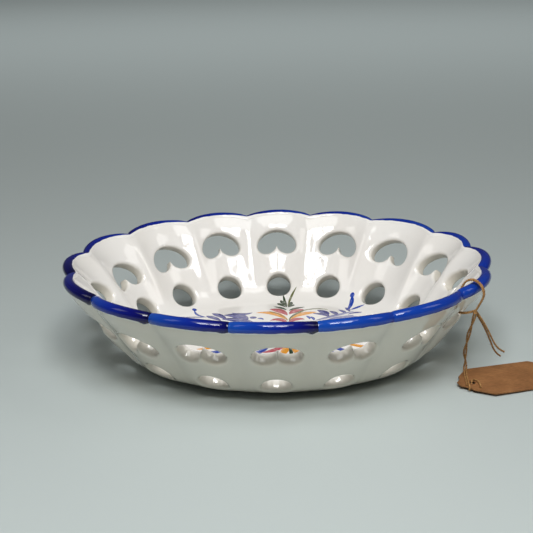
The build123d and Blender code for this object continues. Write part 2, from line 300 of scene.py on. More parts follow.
def add_sockets(tree, way, sockets):
    """Gives a node group (name, kind) sockets, as its INPUT or its OUTPUT."""
    for name, kind in sockets:
        tree.interface.new_socket(name, in_out=way, socket_type="NodeSocket" + kind)


def handmade_surface():
    """The slow unevenness of a hand-dipped glaze: a colour cloud and a surface normal."""
    group = bpy.data.node_groups.new("Handmade Surface", "ShaderNodeTree")
    add_sockets(group, "INPUT", [("Depth", "Float")])
    add_sockets(group, "OUTPUT", [("Cloud", "Float"), ("Normal", "Vector")])
    given = add(group, "NodeGroupInput")
    place = object_place(group)
    fine_share = 0.06
    broad, fine = noise(group, place, 34.0, 1.0), noise(group, place, 170.0, 1.0)
    height = maths(group, "MULTIPLY_ADD", fine, fine_share, broad)
    relief = {"Strength": given.outputs["Depth"], "Distance": 0.003, "Height": height}
    bump = add(group, "ShaderNodeBump", relief)
    add(group, "NodeGroupOutput", {"Cloud": broad, "Normal": bump.outputs["Normal"]})
    return group


def new_glaze(name, surface, depth, roughness, coat):
    """A glossy material over the handmade surface, and that surface's colour cloud."""
    material, tree, shader = new_material(name)
    uneven = add(tree, "ShaderNodeGroup", {"Depth": depth}, node_tree=surface).outputs
    gloss = {"Roughness": roughness, "Coat Weight": coat, "Coat Roughness": 0.03}
    feed(tree, shader, {"Normal": uneven["Normal"], **gloss})
    return material, tree, shader, uneven["Cloud"]


def white_glaze(surface):
    """Thick glossy white glaze, creamier on the edges and walls of the holes, with painted shade on the outer
    face.
    """
    material, tree, shader, cloud = new_glaze("white_glaze", surface, depth=0.22, roughness=0.05, coat=0.5)
    edge = add(tree, "ShaderNodeAttribute", attribute_name="hole_edge").outputs["Fac"]
    outside = add(tree, "ShaderNodeAttribute", attribute_name="outside").outputs["Fac"]
    clouded = ramp(tree, cloud, [(0.3, WHITE_WARM), (0.65, WHITE)])
    # painted shade: the outer face takes the darker, warmer white
    with_outer_shade = mix_colour(tree, outside, clouded, OUTER_PAINTED_SHADE)
    most_cream = 0.75
    creamy = maths(tree, "MULTIPLY", edge, most_cream)
    feed(tree, shader, {"Base Color": mix_colour(tree, creamy, with_outer_shade, CREAM)})
    return material


def blue_glaze(surface):
    """Blue brushed along each scallop over white, lighter where the stroke starts, dark where it ends."""
    material, tree, shader, _ = new_glaze("blue_glaze", surface, depth=0.03, roughness=0.06, coat=0.1)
    mapped = add(tree, "ShaderNodeUVMap", uv_map="brush").outputs["UV"]
    brush = add(tree, "ShaderNodeSeparateXYZ", {0: mapped}).outputs
    along, off_top = brush["X"], brush["Y"]
    place = object_place(tree)
    waver, streakiness = 0.12, 0.34
    edge = maths(tree, "MULTIPLY_ADD", noise(tree, place, 210.0, 2.0), waver, off_top)
    painted = map_range(tree, edge, 0.505, 0.53, 1.0, 0.0)
    across = add(tree, "ShaderNodeSeparateXYZ", {0: place}).outputs["X"]
    stretches = {"X": (along, 2.2), "Y": (off_top, 22.0), "Z": (across, 60.0)}
    stretched = {axis: maths(tree, "MULTIPLY", *pair) for axis, pair in stretches.items()}
    streak = noise(tree, add(tree, "ShaderNodeCombineXYZ", stretched).outputs[0], 1.6, 3.0)
    paler = maths(tree, "SUBTRACT", along, streakiness / 2)
    shade = maths(tree, "MULTIPLY_ADD", streak, streakiness, paler)
    colour = mix_colour(tree, painted, WHITE, ramp(tree, shade, BLUE_STOPS))
    feed(tree, shader, {"Base Color": colour, "Specular IOR Level": 0.4})
    return material


def painted_strokes(surface):
    """Underglaze brush paint: the stroke's own colour, thin and streaky where the brush ran dry."""
    look = {"depth": 0.16, "roughness": 0.05, "coat": 0.5}
    material, tree, shader, _ = new_glaze("painted_strokes", surface, **look)
    pigment = add(tree, "ShaderNodeAttribute", attribute_name="pigment").outputs["Color"]
    patch = noise(tree, object_place(tree), 420.0, 3.0)
    thin = map_range(tree, patch, 0.52, 0.80, 0.0, 0.3)
    feed(tree, shader, {"Base Color": mix_colour(tree, thin, pigment, WHITE)})
    return material


def show_fibres(tree, shader, fibre, stops, depth, roughness):
    """A matt surface that its fibres colour and raise."""
    relief = {"Strength": depth, "Distance": 0.0003, "Height": fibre}
    bump = add(tree, "ShaderNodeBump", relief).outputs["Normal"]
    colour = ramp(tree, fibre, stops)
    feed(tree, shader, {"Base Color": colour, "Normal": bump, "Roughness": roughness})


def jute():
    """Matt brown twine with light and dark fibres."""
    material, tree, shader = new_material("jute")
    fibre = noise(tree, object_place(tree), 1500.0, 3.0)
    show_fibres(tree, shader, fibre, JUTE_STOPS, depth=0.6, roughness=0.85)
    return material


def kraft_card():
    """Brown wrapping card with short fibres."""
    material, tree, shader = new_material("kraft_card")
    place = object_place(tree)
    stretch = {"Vector": place, "Scale": (500.0, 2600.0, 900.0)}
    stretched = add(tree, "ShaderNodeMapping", stretch).outputs["Vector"]
    broad = maths(tree, "MULTIPLY", noise(tree, place, 90.0, 4.0), 0.4)
    fibre = maths(tree, "MULTIPLY_ADD", noise(tree, stretched, 1.0, 3.0), 0.6, broad)
    show_fibres(tree, shader, fibre, KRAFT_STOPS, depth=0.25, roughness=0.75)
    return material


def pale_table():
    material, tree, shader = new_material("pale_table")
    feed(tree, shader, {"Base Color": TABLE, "Roughness": 0.45})
    return material


# Meshes

def add_mesh(name, vertices, faces, material):
    """A smooth-shaded object from vertices in millimetres."""
    mesh = bpy.data.meshes.new(name)
    mesh.from_pydata((np.asarray(vertices) * MM).tolist(), [], faces)
    mesh.polygons.foreach_set("use_smooth", [True] * len(mesh.polygons))
    mesh.materials.append(material)
    return new_object(name, mesh)


def turn_faces(piece, upward=False):
    """Turns a closed piece's faces outward, or a sheet's faces upward."""
    shape = bmesh.new()
    shape.from_mesh(piece.data)
    if upward:
        bmesh.ops.reverse_faces(shape, faces=[face for face in shape.faces if face.normal.z < 0])
    else:
        bmesh.ops.recalc_face_normals(shape, faces=shape.faces)
    shape.to_mesh(piece.data)
    shape.free()


def unit(rows):
    return rows / norm(rows, axis=1)[:, None]


def round_points(angles):
    """Flat points on the unit circle."""
    return np.stack([np.cos(angles), np.sin(angles)], -1)


def inside_polygon(points, polygon):
    """Which points lie inside a closed polygon."""
    x, y = points[:, 0, None], points[:, 1, None]
    x0, y0 = polygon.T
    x1, y1 = np.roll(polygon, -1, axis=0).T
    crosses = ((y0 > y) != (y1 > y)) & (x < (x1 - x0) * (y - y0) / (y1 - y0 + 1e-30) + x0)
    return crosses.sum(axis=1) % 2 == 1


def triangles_around(points, loops, outline=None):
    """Triangles over flat points that keep out of closed loops of point numbers, and inside an outline."""
    edges = []
    for loop in loops + ([outline] if outline else []):
        edges += list(zip(loop, loop[1:] + loop[:1]))
    made = delaunay_2d_cdt([Vector(point) for point in points], edges, [], 0, 1e-7)
    faces = np.array([[made[3][v][0] for v in face] for face in made[2]])
    middles = points[faces].mean(axis=1)
    keep = np.ones(len(faces), bool)
    for loop in loops:
        keep &= ~inside_polygon(middles, points[loop])
    if outline:
        keep &= inside_polygon(middles, points[outline])
    return faces[keep].tolist()


def quads_between(first, second):
    """Quads between two closed rings of vertex numbers."""
    pairs = list(zip(first, second))
    return [(a, b, d, c) for (a, c), (b, d) in zip(pairs, pairs[1:] + pairs[:1])]


# The lobed oval

def rim_angles(places):
    """Angles on the rim's oval at places counted in even lobes from the back."""
    fine = np.linspace(0, 2 * pi, 3601) + pi / 2
    x, y = RIM_HALF_LENGTH * np.cos(fine), RIM_HALF_WIDTH * np.sin(fine)
    length = np.concatenate([[0], np.cumsum(np.hypot(np.diff(x), np.diff(y)))])
    return np.interp(length[-1] * np.asarray(places) / LOBES, length, fine)


CREASE_PLACES = np.arange(LOBES) + 0.5 + np.array(CREASE_SHIFTS)
PLACES_BEFORE = np.concatenate([[CREASE_PLACES[-1] - LOBES], CREASE_PLACES[:-1]])
LOBE_PLACES = (PLACES_BEFORE + CREASE_PLACES) / 2
HALF_LOBES = (CREASE_PLACES - PLACES_BEFORE) * LOBE_LENGTH / 2
CREASE_ANGLES = rim_angles(CREASE_PLACES)
LOBE_ANGLES = rim_angles(LOBE_PLACES)
TIE_ANGLE = rim_angles(TIE_LOBE)


def plan_point(angle, inset, height):
    inset, height = np.broadcast_arrays(inset, height)
    x, y = (RIM_HALF_LENGTH - inset) * np.cos(angle), (RIM_HALF_WIDTH - inset) * np.sin(angle)
    return np.stack([x, y, height], -1)


def outward(angle, inset):
    """Level direction square to the oval, away from its centre."""
    x, y = (RIM_HALF_WIDTH - inset) * cos(angle), (RIM_HALF_LENGTH - inset) * sin(angle)
    level = np.array([x, y, 0])
    return level / norm(level)


def bow(start, middle, end, along, soft):
    """Points on round arcs from start through middle to end, along from -1 to 1, the ends eased off."""
    base, half = (start + end) / 2, (end - start) / 2
    rise = middle - base
    h, g = norm(half, axis=-1), norm(rise, axis=-1) + 1e-9
    radius = (h**2 + g**2) / (2 * g)
    angle = along * np.arcsin(np.minimum(h / radius, 1))
    x = radius * np.sin(angle) / h
    y = (radius * np.cos(angle) - (radius - g)) / g
    y = y + 2 * soft * np.exp(-(1 - np.abs(along)) / soft)
    return base + half * x[..., None] + rise * y[..., None]


def lip_height(along):
    return RIM_HEIGHT + LIP_RISE * (1 - along**2)


def lip_fullness(along):
    """Thickness of the lip along a scallop, pinched at the notches."""
    places = [-1, -0.93, -0.8, -0.3, 0.6, 0.9, 1]
    return np.interp(along, places, [0.90, 0.98, 1.03, 1.0, 0.99, 0.97, 0.90])


def run_to_lip(along):
    """Length of the wall's profile from the floor's edge to beside the lip's centre."""
    beside = lip_height(along) + WALL / 2 * sin(LEAN)
    return CORNER_RUN + (beside - CORNER_END_HEIGHT) / cos(LEAN)


WALL_RUN = float(run_to_lip(np.array(0.0)))
HEART_RUN = CORNER_RUN + (FLOOR_TOP + HEART_HEIGHT - CORNER_END_HEIGHT) / cos(LEAN)
ROUND_RUN = CORNER_RADIUS * acos(1 - ROUND_HEIGHT / CORNER_RADIUS)


def inner_face(run):
    """(inset, height, turn) of the inner face along a lobe's middle."""
    turn = np.minimum(run / CORNER_RADIUS, CORNER_TURN)
    rest = np.maximum(run - CORNER_RUN, 0)
    inset = CORNER_CENTRE_INSET - CORNER_RADIUS * np.sin(turn) - rest * np.cos(turn)
    height = CORNER_CENTRE_HEIGHT - CORNER_RADIUS * np.cos(turn) + rest * np.sin(turn)
    return inset, height, turn


def even_outer_run(run):
    """Keeps the round holes round on the outer face, which is longer round the corner."""
    stretch = (CORNER_RADIUS + WALL) / CORNER_RADIUS
    past = (CORNER_RUN - ROUND_RUN) * stretch
    reach = 9.0
    places = [0, ROUND_RUN - reach, ROUND_RUN + past, ROUND_RUN + reach, HEART_RUN - reach, WALL_RUN]
    runs = [0, ROUND_RUN - reach / stretch, CORNER_RUN, CORNER_RUN + reach - past, *places[4:]]
    return np.interp(run, places, runs)


def wall_points(lobe, along, run, side, sunk):
    """Points on one face of a lobe: side -1 is the inner face, 1 the outer; sunk is how deep they lie."""
    share = run / WALL_RUN
    if side > 0:
        run = even_outer_run(run)
    run = run * run_to_lip(along) / WALL_RUN
    inset, height, turn = inner_face(run)
    neck = np.clip(1 - (run_to_lip(along) - run) / NECK_LENGTH, 0, 1)
    neck = neck * neck * (3 - 2 * neck)
    half = WALL / 2 * (1 - neck) + (LIP_RADIUS * lip_fullness(along) - LIP_OVERLAP) * neck
    depth = WALL / 2 + side * (half - sunk)
    inset = inset - depth * np.sin(turn)
    height = height - depth * np.cos(turn)
    bulge = LOBE_BULGE * np.sin(pi / 2 * share) - LIP_RISE * tan(LEAN) * share**6
    return bow(
        plan_point(CREASE_ANGLES[lobe - 1], inset + bulge, height),
        plan_point(LOBE_ANGLES[lobe], inset, height),
        plan_point(CREASE_ANGLES[lobe], inset + bulge, height),
        along,
        CREASE_SOFT + CREASE_SOFTER[side] * (1 - share),
    )


# Bowl shell

def heart_ring(grow, count):
    """Outline of the upside-down heart, grown by a distance, as an even closed ring from its top."""
    radius = (HEART_HALF**2 + HEART_TOOTH**2) / (2 * HEART_HALF)
    centre = HEART_HALF - radius
    halves = np.array([HEART_HALF, HEART_CROWN])
    crown = round_points(np.linspace(pi / 2, 0, 80))
    crown = crown * halves + grow * unit(crown / halves)
    low_end = -(pi - acos(centre / (radius + grow)))
    low = (centre, 0) + (radius + grow) * round_points(np.linspace(0, low_end, 100)[1:])
    half = np.concatenate([crown, low])
    length = np.concatenate([[0], np.cumsum(norm(np.diff(half, axis=0), axis=1))])
    even = np.linspace(0, length[-1], count)
    right = np.stack([np.interp(even, length, half[:, axis]) for axis in (0, 1)], -1)
    return np.concatenate([right, right[-2:0:-1] * (-1, 1)])


def even_turn(count):
    return np.linspace(0, 2 * pi, count, endpoint=False)


def round_ring(grow, count):
    return (ROUND_RADIUS + grow) * round_points(even_turn(count))


def lobe_width_share(run):
    """Width of a lobe at a run, as a share of its width at the rim."""
    inset = inner_face(run)[0]
    mean = (RIM_HALF_LENGTH + RIM_HALF_WIDTH) / 2
    return (mean - inset) / mean


def hole_rings(outline, aside, run, count, steps=4):
    """Rings round a hole from the flat face down into its rounded edge: [(flat points, depth)]."""
    rings = []
    for i in range(steps + 1):
        turn = pi / 2 * i / steps
        ring = outline(HOLE_EDGE * (1 - sin(turn)), count)
        place = ring + (0, run)
        place[:, 0] = place[:, 0] / lobe_width_share(place[:, 1]) + aside
        rings.append((place, HOLE_EDGE * (1 - cos(turn))))
    return rings


def lobe_pattern(lobe):
    """The flat net of one lobe, shared by its two faces, with its grid's rows from the floor up."""
    across, upward, clear = 28, 42, 0.75
    half = HALF_LOBES[lobe]
    middle = (lobe - LOBE_PLACES[lobe]) * LOBE_LENGTH
    aside, up = (2 * HEART_HALF * shift for shift in HEART_SHIFTS[lobe])
    holes = [
        hole_rings(heart_ring, middle + aside / lobe_width_share(HEART_RUN), HEART_RUN + up, 38),
        hole_rings(round_ring, middle, ROUND_RUN, 36),
    ]
    xs, ys = np.linspace(-half, half, across + 1), np.linspace(0, WALL_RUN, upward + 1)
    grid = np.array([(x, y) for y in ys for x in xs])
    keep = np.ones(len(grid), bool)
    for rings in holes:
        ring = rings[0][0]
        near = norm(grid[:, None] - ring[None], axis=2).min(axis=1)
        keep &= ~inside_polygon(grid, ring) & (near > clear)
    keep |= np.isclose(np.abs(grid[:, 0]), half)
    rows = (np.cumsum(keep) - 1).reshape(upward + 1, across + 1)
    points, depths = [grid[keep]], [np.zeros(keep.sum())]
    total, loops = int(keep.sum()), [[], []]
    for level in zip(*holes):
        for loop, (ring, depth) in zip(loops, level):
            loop.append(list(range(total, total + len(ring))))
            points.append(ring)
            depths.append(np.full(len(ring), depth))
            total += len(ring)
    points, depths = np.concatenate(points), np.concatenate(depths)
    edges = [rings[0] for rings in loops]
    faces = triangles_around(points[: edges[-1][-1] + 1], edges)
    for rings in loops:
        for outer, inner in zip(rings, rings[1:]):
            faces += quads_between(outer, inner)
    rims = [rings[-1] for rings in loops]
    return {"points": points, "depths": depths, "faces": faces, "rims": rims, "rows": rows}


def disc_rings(vertices, faces, ring, levels):
    """Carries a closed ring inward through (share of its size, height) levels and closes it at the centre."""
    rim = np.array([vertices[v] for v in ring])
    for share, height in levels:
        moved = rim * (share, share, 0, 1, 1) + (0, 0, height, 0, 0)
        inner = list(range(len(vertices), len(vertices) + len(ring)))
        vertices.extend(moved)
        faces += quads_between(ring, inner)
        ring = inner
    faces += [(a, b, len(vertices)) for a, b in zip(ring, ring[1:] + ring[:1])]
    vertices.append(moved[0] * (0, 0, 1, 1, 1))


def make_shell(material):
    """The pierced, lobed wall with its floor and foot ring, in one closed skin."""
    nets = [lobe_pattern(lobe) for lobe in range(LOBES)]
    skins, numbers, total = [], [], 0
    for lobe, net in enumerate(nets):
        along, run, depths = net["points"][:, 0] / HALF_LOBES[lobe], net["points"][:, 1], net["depths"]
        numbers.append([])
        for side in (-1, 1):
            places = wall_points(lobe, along, run, side, depths)
            skins.append(np.column_stack([places, depths / HOLE_EDGE, np.full(len(run), side > 0)]))
            numbers[-1].append(np.arange(total, total + len(run)))
            total += len(run)
    vertices = np.concatenate(skins)  # x, y, z, then the marks hole_edge and outside
    for lobe in range(LOBES):
        after = (lobe + 1) % LOBES
        for mine, theirs in zip(numbers[lobe], numbers[after]):
            left = nets[after]["rows"][:, 0]
            right = mine[nets[lobe]["rows"][:, -1]]
            vertices[right] = (vertices[right] + vertices[theirs[left]]) / 2
            theirs[left] = right
    vertices, faces = list(vertices), []
    for net, (inner, outer) in zip(nets, numbers):
        faces += [tuple(inner[list(face)][::-1]) for face in net["faces"]]
        faces += [tuple(outer[list(face)]) for face in net["faces"]]
        for rim in net["rims"]:
            faces += quads_between(list(inner[rim]), list(outer[rim]))
        top = net["rows"][-1]
        for a, b in zip(top, top[1:]):
            faces.append((inner[a], inner[b], outer[b], outer[a]))
    floor_ring, base_ring = (
        [n for net, pair in zip(nets, numbers) for n in pair[face][net["rows"][0][:-1]]] for face in (0, 1)
    )
    disc_rings(vertices, faces, floor_ring, [(share, FLOOR_TOP) for share in np.linspace(0.93, 0.08, 12)])
    size = (RIM_HALF_LENGTH + RIM_HALF_WIDTH) / 2 - CORNER_CENTRE_INSET
    outer_foot, inner_foot = 1 - FOOT_INSET / size, 1 - (FOOT_INSET + FOOT_WIDTH) / size
    rounding = 0.4
    soft = rounding / size
    levels = [
        (outer_foot, FOOT_HEIGHT), (outer_foot, rounding), (outer_foot - soft, 0.0),
        (inner_foot + soft, 0.0), (inner_foot, rounding), (inner_foot, FOOT_HEIGHT),
        (0.6, FOOT_HEIGHT), (0.25, FOOT_HEIGHT),
    ]
    disc_rings(vertices, faces, base_ring, levels)
    used, fresh = np.unique(np.concatenate(faces), return_inverse=True)
    ends = np.cumsum([len(face) for face in faces])
    faces = [face.tolist() for face in np.split(fresh, ends[:-1])]
    vertices = np.array(vertices)[used]
    shell = add_mesh("bowl_shell", vertices[:, :3], faces, material)
    turn_faces(shell)
    for column, name in ((3, "hole_edge"), (4, "outside")):
        mark = shell.data.attributes.new(name, "FLOAT", "POINT")
        mark.data.foreach_set("value", vertices[:, column].astype(np.float32))
    return shell


# Lip

def pooled(along, shade):
    """How far, in degrees round the lip, the blue glaze has run down where a dark stroke ends."""
    dark = max(shade - POOL_SHADE, 0) / (1 - POOL_SHADE)
    place = np.clip((along - POOL_START) / (1 - POOL_START), 0, 1)
    return POOL_RUN * dark * np.sin(pi * place) ** 2


def make_lip(material):
    """A roll along each scallop, pinched at the notches, with brush coordinates for the blue."""
    steps, sides, mitred = 34, 48, 0.2
    run_room = PAINT_HALF - PAINT_MIDDLE + RUN_START
    along = np.linspace(-1, 1, steps + 1)
    section = even_turn(sides) - pi / 2
    rings, off_top = [], []
    for lobe in range(LOBES):
        run = pooled(along, SCALLOP_SHADES[lobe][1])[:, None]
        angle = np.degrees(section)[None]
        inside = PAINT_INSIDE - PAINT_DIP * along[:, None] ** 2 - PAINT_MIDDLE
        off = angle - PAINT_MIDDLE
        ran = RUN_START + (angle - RUN_START) * run_room / (run_room + run) - PAINT_MIDDLE
        brushed = np.where(angle < RUN_START, ran, np.where(off > 0, off * PAINT_HALF / inside, off))
        off_top.append(np.abs(brushed) / 180)
        ends = [plan_point(CREASE_ANGLES[lobe - i], 0, RIM_HEIGHT) for i in (1, 0)]
        middle = plan_point(LOBE_ANGLES[lobe], -LOBE_BULGE, RIM_HEIGHT + LIP_RISE)
        line = bow(ends[0], middle, ends[1], along, CREASE_SOFT)
        tangent = np.gradient(line, axis=0)
        side = unit(np.stack([tangent[:, 1], -tangent[:, 0], np.zeros(steps + 1)], -1))
        for end, crease in ((0, CREASE_ANGLES[lobe - 1]), (-1, CREASE_ANGLES[lobe])):
            share = np.clip(1 - np.abs(along - along[end]) / mitred, 0, 1)[:, None]
            side = unit(side * (1 - share) + outward(crease, 0) * share)
        radius = (LIP_RADIUS * lip_fullness(along))[:, None]
        fall = -degrees(LEAN) - angle
        drip = (radius + POOL_FILM) / np.cos(np.radians(np.clip(fall, 0, POOL_STEEPEST)))
        radius = radius + (drip - radius) * np.clip((run - fall) / POOL_EDGE, 0, 1) * (fall > 0)
        away = side[:, None] * np.cos(section)[None, :, None] + UP * np.sin(section)[None, :, None]
        rings.append(line[:, None] + radius[..., None] * away)
    for lobe in range(LOBES):
        after = (lobe + 1) % LOBES
        rings[lobe][-1] = rings[after][0] = (rings[lobe][-1] + rings[after][0]) / 2
    vertices = np.concatenate([ring[:-1].reshape(-1, 3) for ring in rings])
    off_top = np.concatenate([rows[:-1].ravel() for rows in off_top])
    faces, brush = [], []
    total = LOBES * steps
    for ring in range(total):
        first, last = SCALLOP_SHADES[ring // steps]
        start, end = (first + (last - first) * (ring % steps + i) / steps for i in (0, 1))
        faces += quads_between(*(range(n * sides, (n + 1) * sides) for n in (ring, (ring + 1) % total)))
        for a, b, c, d in faces[-sides:]:
            brush += [(start, off_top[a]), (start, off_top[b]), (end, off_top[c]), (end, off_top[d])]
    lip = add_mesh("painted_lip", vertices, faces, material)
    lip.data.uv_layers.new(name="brush").data.foreach_set("uv", np.array(brush, np.float32).ravel())
    lip.data.flip_normals()
    return lip


# Floor painting

def stroke(colour, start, via, end, width, full=0.5):
    """A brush stroke through three places, fullest at a share of its length."""
    start, via, end = (np.array(place, float) for place in (start, via, end))
    t = np.linspace(0, 1, 17)
    pull = 2 * via - (start + end) / 2
    line = np.outer((1 - t) ** 2, start) + np.outer(2 * t * (1 - t), pull) + np.outer(t**2, end)
    swell = np.where(t < full, t / full, (1 - t) / (1 - full))
    return line, width * np.sin(pi / 2 * swell) ** 0.8 + 0.1, colour


def dot(colour, place, size):
    t = np.linspace(-1, 1, 9)
    line = np.array(place, float) + np.stack([size * t, np.zeros(9)], -1)
    return line, size * np.sqrt(np.maximum(1 - t * t, 0.01)), colour


# Strokes as (colour, start, via, end, width, where fullest) and dots as (colour, place, size)
SPRAY_MARKS = [
    (GREEN, (4.4, 43), (3.4, 50), (2.3, 56.8), 0.75, 0.4),
    (OLIVE, (5.2, 44), (6.4, 53), (9.8, 59.2), 0.6, 0.6),
    (GREEN, (4.2, 44.5), (2.6, 48.6), (0.9, 51.8), 1.15, 0.7),
    (GREEN, (4, 43), (1.4, 46.4), (-0.8, 48.8), 1.15, 0.7),
    (GREEN, (5, 44.5), (6.2, 47.4), (7.2, 50), 1.2, 0.7),
    (GREEN, (5, 43), (6.8, 45), (8.4, 46.8), 1.2, 0.7),
    (GREEN, (4.4, 38.5), (1, 42.2), (-2.8, 43.8), 1.1),
    (GREEN, (5.6, 37.5), (9.4, 41.2), (14.2, 42.7), 1.2),
    (PINK, (4.8, 30.5), (0.6, 37.4), (-4.8, 39.8), 2.6, 0.55),
    (PINK, (5.8, 32), (9.2, 37.4), (13.8, 38.9), 2.3, 0.55),
    (OLIVE, (8, 33), (17.5, 39.6), (26.6, 38.4), 0.7, 0.6),
    (OCHRE, (5, 23.7), (-2.6, 33.4), (-12, 34.6), 2.2),
    (OCHRE, (6.4, 25), (12.2, 32), (20.6, 34.9), 2.2, 0.6),
    (OLIVE, (5.6, 22.8), (8.4, 30.6), (13.6, 36.9), 0.9),
    (OLIVE, (4.8, 22.8), (1.6, 30), (-5, 37), 0.8),
    (PINK, (4.4, 19.5), (0.8, 24.4), (-4.4, 23), 2),
    (PINK, (5.4, 19.5), (9.4, 24.8), (13.9, 24.2), 2),
    (VIOLET, (-16.5, 23), (-21, 29.8), (-29.4, 31.6), 3.6),
    (VIOLET, (-14, 35), (-19.5, 33), (-25, 34.8), 1.6),
    (VIOLET, (-13, 21), (-21.5, 24.6), (-30, 25.8), 3),
    (VIOLET, (-13.4, 27.8), 1.9),
    (BLUE, (-7.9, 24.4), (-9.2, 26.4), (-11, 26), 0.9, 0.6),
    (VIOLET, (-27.5, 24.6), (-30.8, 30.4), (-35.8, 34.8), 2, 0.7),
    (VIOLET, (-30.4, 23.4), (-34, 27.6), (-38.6, 31), 1.9, 0.7),
    (VIOLET, (-38.2, 29), (-45, 29.2), (-52.3, 29), 0.6, 0.3),
    (BLUE, (-38.3, 29.1), (-43.2, 32.4), (-45.4, 37.6), 0.8),
    (BLUE, (-45.5, 38.2), 1.3),
    (VIOLET, (25.6, 28.5), (24.6, 34), (20.8, 38), 2.4),
    (VIOLET, (27, 28), (24, 31.4), (18.4, 32.8), 1.6),
    (VIOLET, (31, 29.6), (30.2, 33.4), (27.4, 36.3), 1.6, 0.55),
    (VIOLET, (35.6, 32.6), (34.8, 35.6), (32.3, 38.1), 1.3, 0.55),
    (VIOLET, (38, 35.4), (37.6, 38.2), (36, 40.6), 1.1, 0.6),
    (PALE, (19.1, 22.2), (29.7, 29.2), (40.5, 35.6), 1.4),
    (PALE, (28, 24.8), (36, 27.4), (43.4, 26.9), 1.9),
    (PALE, (24, 22), (32, 26.2), (40, 29.8), 1.8),
    (VIOLET, (37, 31), (40.6, 33.4), (44.8, 33.9), 1, 0.6),
    (BLUE, (36.4, 37), (39.1, 42.4), (40.3, 48.2), 1.15, 0.75),
    (BLUE, (40.35, 48.4), 1.3),
    (BLUE, (38.6, 37.4), (42, 39.4), (46.5, 40.7), 0.75),
    (BLUE, (16.6, 24.6), (16.2, 27.4), (14.8, 29.4), 0.9, 0.6),
    (BLUE, (18.8, 22.8), (18.4, 25.8), (17.2, 28.4), 0.9, 0.6),
]
FRONT_MARKS = [
    (GREEN, (4.6, 20), (4.8, 17.5), (4.6, 14), 1),
    (PINK, (4, -9), (-1, -16.4), (-8, -20), 1.9),
    (PINK, (5.4, -9), (12.4, -14.6), (18, -18), 1.9),
    (OCHRE, (4.4, -9), (3.6, -17.6), (1, -26), 2),
    (OCHRE, (5.2, -9), (9, -17.6), (11.6, -25), 2),
    (GREEN, (4.8, -8), (6.6, -18), (6.2, -30), 1),
    (BLUE, (-5, -12), (-8.2, -18.4), (-14, -24), 1.8),
    (BLUE, (-11, -11), (-16, -18), (-23, -22), 1.7),
    (BLUE, (-18, -10), (-29, -18), (-39, -22), 1.9),
    (BLUE, (19, -11), (24, -18), (30, -23), 1.7),
    (BLUE, (24, -9), (30.8, -16.6), (38, -22), 1.7),
    (OCHRE, (32, -7), (40.4, -12.6), (49, -15), 1.7),
    (OCHRE, (-23, -7), (-32, -12.6), (-40, -15), 1.7),
]
FLOWER_CENTRE = np.array([4.6, 3.0])
FLOWER_LEAVES = [
    ((14, 7), (24, 11), (36, 10), 2),
    ((15, 4), (27, 4.5), (41, 2), 1.8),
    ((14, 1), (24, -2.5), (36, -7), 2),
]


def flower_strokes():
    """A spray of leaves and petals with blue scrolls at its sides, a flower, and leaves in front of it."""
    flower = [(GREEN, FLOWER_CENTRE, 2.0)]
    for i in range(10):
        way = round_points(0.2 * pi * i)
        colour, reach = ((OCHRE, 10.5), (PINK, 9.0))[i % 2]
        flower.append((colour, *(FLOWER_CENTRE + way * far for far in (2.6, 6.5, reach)), 1.9, 0.6))
    for side in (-1, 1):
        for *places, width in FLOWER_LEAVES:
            flower.append((VIOLET, *((FLOWER_CENTRE[0] + side * x, y) for x, y in places), width))
    return [dot(*mark) if len(mark) == 3 else stroke(*mark) for mark in SPRAY_MARKS + flower + FRONT_MARKS]


def make_painting(shell, material):
    """Every stroke laid on the inner face as a thin film, sunk at its edges."""
    skin = shell.data
    tree = BVHTree.FromPolygons([v.co for v in skin.vertices], [p.vertices[:] for p in skin.polygons])
    across = np.array([-1.0, -0.8, 0.0, 0.8, 1.0])
    lift = np.array([-0.03, 0.05, 0.07, 0.05, -0.03])
    steepest = 0.5
    vertices, faces, colours = [], [], []
    for line, widths, colour in flower_strokes():
        tangent = unit(np.gradient(line, axis=0))
        aside = np.stack([-tangent[:, 1], tangent[:, 0]], -1)
        before = None
        for point, sideways, width in zip(line, aside, widths):
            places = [point + sideways * width * share for share in across]
            hits = [tree.ray_cast(Vector((x * MM, y * MM, RIM_HEIGHT * MM)), DOWN) for x, y in places]
            if any(hit[0] is None or hit[1].z < steepest for hit in hits):
                before = None
                continue
            start = len(vertices)
            for (place, normal, _, _), height in zip(hits, lift):
                vertices.append(np.array(place) / MM + np.array(normal) * height)
                colours += [*colour, 1.0]
            if before is not None:
                for j in range(len(across) - 1):
                    faces.append((before + j, start + j, start + j + 1, before + j + 1))
            before = start
    painting = add_mesh("floor_painting", vertices, faces, material)
    mark = painting.data.attributes.new("pigment", "FLOAT_COLOR", "POINT")
    mark.data.foreach_set("color", np.array(colours, np.float32))
    turn_faces(painting, upward=True)
    return painting


# Tag

def tag_points(places):
    """Points on the tag: past the shoulders, across from the back long edge, above the underside."""
    level = np.array([cos(TAG_TURN), sin(TAG_TURN), 0])
    past = level * cos(TAG_TILT) - UP * sin(TAG_TILT)
    above = level * sin(TAG_TILT) + UP * cos(TAG_TILT)
    back = np.cross(above, past)
    origin = np.array([*TAG_CORNER, TAG_TABLE_GAP + (TAG_SIDE + TAG_HEAD) * sin(TAG_TILT)])
    places = np.asarray(places, float)
    return origin + places[:, :1] * past - places[:, 1:2] * back + places[:, 2:] * above


def arc_through(start, middle, end, count):
    """Points on the circle through three flat points, without the last."""
    a, b, c = (complex(*point) for point in (start, middle, end))
    w = (c - a) / (b - a)
    centre = (b - a) * (w - abs(w) ** 2) / (2j * w.imag) + a
    radius = abs(a - centre)
    first, mid, last = (atan2((p - centre).imag, (p - centre).real) for p in (a, b, c))
    sweep = (last - first) % (2 * pi)
    if (mid - first) % (2 * pi) > sweep:
        sweep -= 2 * pi
    angles = first + sweep * np.arange(count) / count
    return [(centre.real + radius * cos(t), centre.imag + radius * sin(t)) for t in angles]


